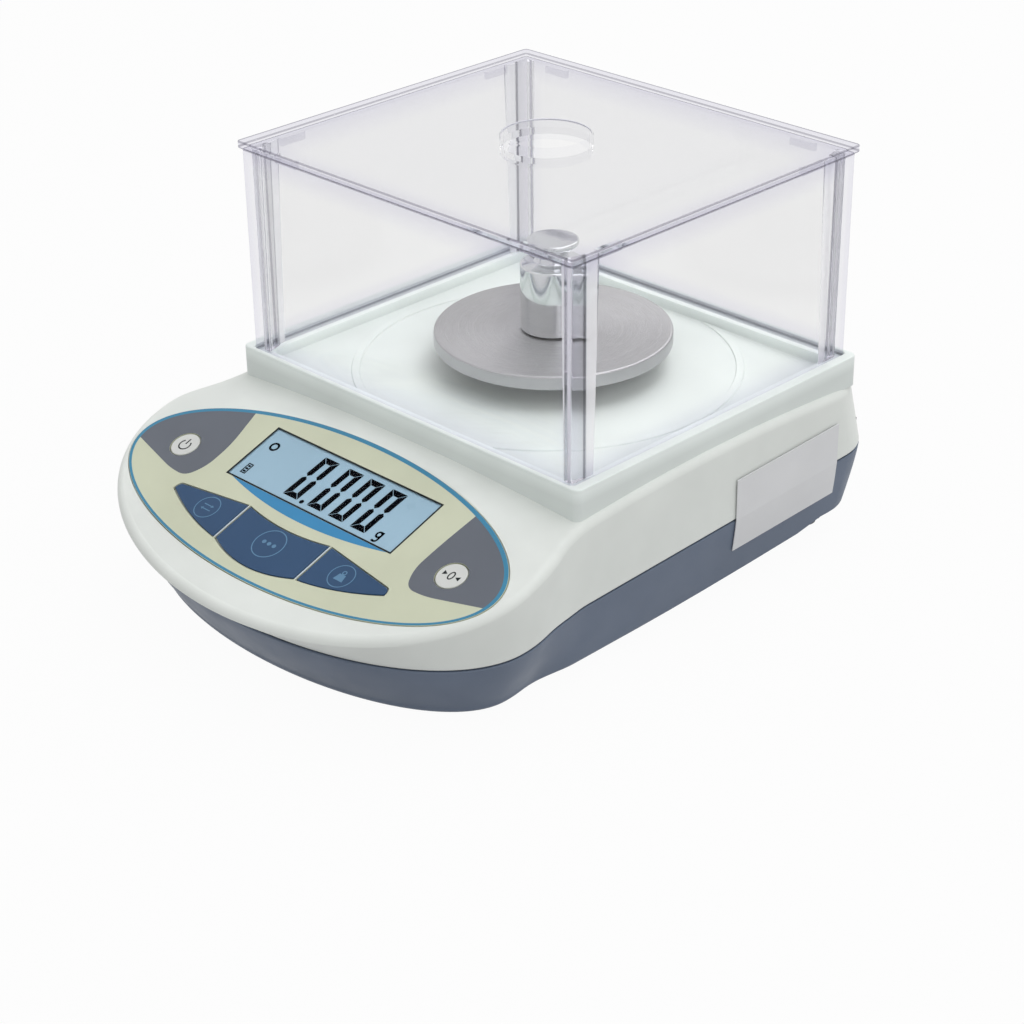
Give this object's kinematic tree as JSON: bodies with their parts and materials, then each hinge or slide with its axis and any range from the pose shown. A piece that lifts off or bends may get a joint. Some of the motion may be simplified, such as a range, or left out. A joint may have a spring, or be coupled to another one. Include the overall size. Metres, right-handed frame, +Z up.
{
  "type": "digital scale",
  "caption": "Small laboratory balance with a sloping oval keypad and display, a round pan inside a clear lidded windshield, a weight on the pan and levelling feet.",
  "frame": {"origin": "centre of the bounding box on the surface that the feet stand on", "axes": "+Z up, keypad towards -Y, +Y the long way to the rear"},
  "size_m": [0.176, 0.232, 0.1418],
  "materials": {
    "upper_shell": "fine satin",
    "tray_shell": "fine satin",
    "lower_shell": "fine satin",
    "clear": "clear",
    "pan_steel": "satin",
    "weight_steel": "polished",
    "overlay": "semi-gloss",
    "round_key": "semi-gloss",
    "navy_key": "semi-gloss",
    "display": "smooth",
    "display_cover": "clear",
    "white_plastic": "satin",
    "board": "satin",
    "black_plastic": "satin",
    "black_rubber": "matte",
    "red_plastic": "satin",
    "alloy": "machined",
    "insert_brass": "machined",
    "screw_steel": "plated",
    "label_paper": "matte"
  },
  "bodies": {
    "housing": {"upper_housing": "upper_shell", "lower_housing": "lower_shell", "windshield_tray": "tray_shell", "keypad_overlay": "overlay", "display_window": "display_cover", "display_panel": "display", "display_backlight": "white_plastic", "display_board": "board", "switch_power": "black_plastic", "switch_tare": "black_plastic", "switch_left": "black_plastic", "switch_middle": "black_plastic", "switch_right": "black_plastic", "main_board": "board", "battery_connector": "white_plastic", "cell_connector": "white_plastic", "mounting_plate": "alloy", "cell_base_block": "alloy", "load_cell": "alloy", "cell_spacer": "alloy", "carrier_plate": "alloy", "overload_stop": "insert_brass", "fixed_end_screw_1": "screw_steel", "fixed_end_screw_2": "screw_steel", "free_end_screw_1": "screw_steel", "free_end_screw_2": "screw_steel", "pan_holder": "alloy", "power_inlet": "black_plastic", "battery_snap": "black_plastic", "battery_lead_red": "red_plastic", "battery_lead_black": "black_plastic", "side_label": "label_paper", "foot_insert_front_left": "insert_brass", "foot_insert_front_right": "insert_brass", "foot_insert_rear_left": "insert_brass", "foot_insert_rear_right": "insert_brass", "housing_screw_front_left": "screw_steel", "housing_screw_front_right": "screw_steel", "housing_screw_rear_left": "screw_steel", "housing_screw_rear_right": "screw_steel"},
    "walls": {"windshield_walls": "clear"},
    "lid": {"windshield_lid": "clear"},
    "pan": {"weighing_pan": "pan_steel"},
    "weight": {"calibration_weight": "weight_steel"},
    "power_key": {"key_power": "round_key"},
    "tare_key": {"key_tare": "round_key"},
    "left_key": {"key_left": "navy_key"},
    "middle_key": {"key_middle": "navy_key"},
    "right_key": {"key_right": "navy_key"},
    "door": {"battery_door": "lower_shell"},
    "pad_front_left": {"foot_pad_front_left": "black_rubber"},
    "pad_front_right": {"foot_pad_front_right": "black_rubber"},
    "pad_rear_left": {"foot_pad_rear_left": "black_rubber"},
    "pad_rear_right": {"foot_pad_rear_right": "black_rubber"},
    "knob_front_left": {"foot_knob_front_left": "black_plastic"},
    "knob_front_right": {"foot_knob_front_right": "black_plastic"},
    "knob_rear_left": {"foot_knob_rear_left": "black_plastic"},
    "knob_rear_right": {"foot_knob_rear_right": "black_plastic"}
  },
  "joints": [
    {"name": "walls_lift", "type": "slide", "parent": "housing", "child": "walls", "axis": [0, 0, 1], "range_m": [0, 0.09]},
    {"name": "lid_lift", "type": "slide", "parent": "walls", "child": "lid", "axis": [0, 0, 1], "range_m": [0, 0.06]},
    {"name": "pan_lift", "type": "slide", "parent": "housing", "child": "pan", "axis": [0, 0, 1], "range_m": [0, 0.04]},
    {"name": "weight_lift", "type": "slide", "parent": "pan", "child": "weight", "axis": [0, 0, 1], "range_m": [0, 0.06]},
    {"name": "power_key_press", "type": "slide", "parent": "housing", "child": "power_key", "axis": [0, 0.3322, -0.9432], "range_m": [0, 0.0004], "stiffness_N_per_m": 1500, "springref_m": -0.0003},
    {"name": "tare_key_press", "type": "slide", "parent": "housing", "child": "tare_key", "axis": [0, 0.3322, -0.9432], "range_m": [0, 0.0004], "stiffness_N_per_m": 1500, "springref_m": -0.0003},
    {"name": "left_key_press", "type": "slide", "parent": "housing", "child": "left_key", "axis": [0, 0.3322, -0.9432], "range_m": [0, 0.0004], "stiffness_N_per_m": 1500, "springref_m": -0.0003},
    {"name": "middle_key_press", "type": "slide", "parent": "housing", "child": "middle_key", "axis": [0, 0.3322, -0.9432], "range_m": [0, 0.0004], "stiffness_N_per_m": 1500, "springref_m": -0.0003},
    {"name": "right_key_press", "type": "slide", "parent": "housing", "child": "right_key", "axis": [0, 0.3322, -0.9432], "range_m": [0, 0.0004], "stiffness_N_per_m": 1500, "springref_m": -0.0003},
    {"name": "door_swing", "type": "hinge", "parent": "housing", "child": "door", "pos_m": [-0.036, -0.01165, 0.005], "axis": [-1, 0, 0], "range_deg": [0, 75]},
    {"name": "foot_slide_front_left", "type": "slide", "parent": "housing", "child": "pad_front_left", "axis": [0, 0, -1], "range_m": [-0.0011, 0.0041]},
    {"name": "foot_slide_front_right", "type": "slide", "parent": "housing", "child": "pad_front_right", "axis": [0, 0, -1], "range_m": [-0.0011, 0.0041]},
    {"name": "foot_slide_rear_left", "type": "slide", "parent": "housing", "child": "pad_rear_left", "axis": [0, 0, -1], "range_m": [-0.0011, 0.0041]},
    {"name": "foot_slide_rear_right", "type": "slide", "parent": "housing", "child": "pad_rear_right", "axis": [0, 0, -1], "range_m": [-0.0011, 0.0041]},
    {"name": "foot_turn_front_left", "type": "hinge", "parent": "pad_front_left", "child": "knob_front_left", "pos_m": [-0.046, -0.058, 0.005], "axis": [0, 0, -1], "range_deg": [-360, 1440]},
    {"name": "foot_turn_front_right", "type": "hinge", "parent": "pad_front_right", "child": "knob_front_right", "pos_m": [0.046, -0.058, 0.005], "axis": [0, 0, -1], "range_deg": [-360, 1440]},
    {"name": "foot_turn_rear_left", "type": "hinge", "parent": "pad_rear_left", "child": "knob_rear_left", "pos_m": [-0.056, 0.094, 0.005], "axis": [0, 0, -1], "range_deg": [-360, 1440]},
    {"name": "foot_turn_rear_right", "type": "hinge", "parent": "pad_rear_right", "child": "knob_rear_right", "pos_m": [0.056, 0.094, 0.005], "axis": [0, 0, -1], "range_deg": [-360, 1440]}
  ],
  "couplings": [
    {"joint": "foot_slide_front_left", "follows": "foot_turn_front_left", "m_per_rad": 0.00015915},
    {"joint": "foot_slide_front_right", "follows": "foot_turn_front_right", "m_per_rad": 0.00015915},
    {"joint": "foot_slide_rear_left", "follows": "foot_turn_rear_left", "m_per_rad": 0.00015915},
    {"joint": "foot_slide_rear_right", "follows": "foot_turn_rear_right", "m_per_rad": 0.00015915}
  ]
}
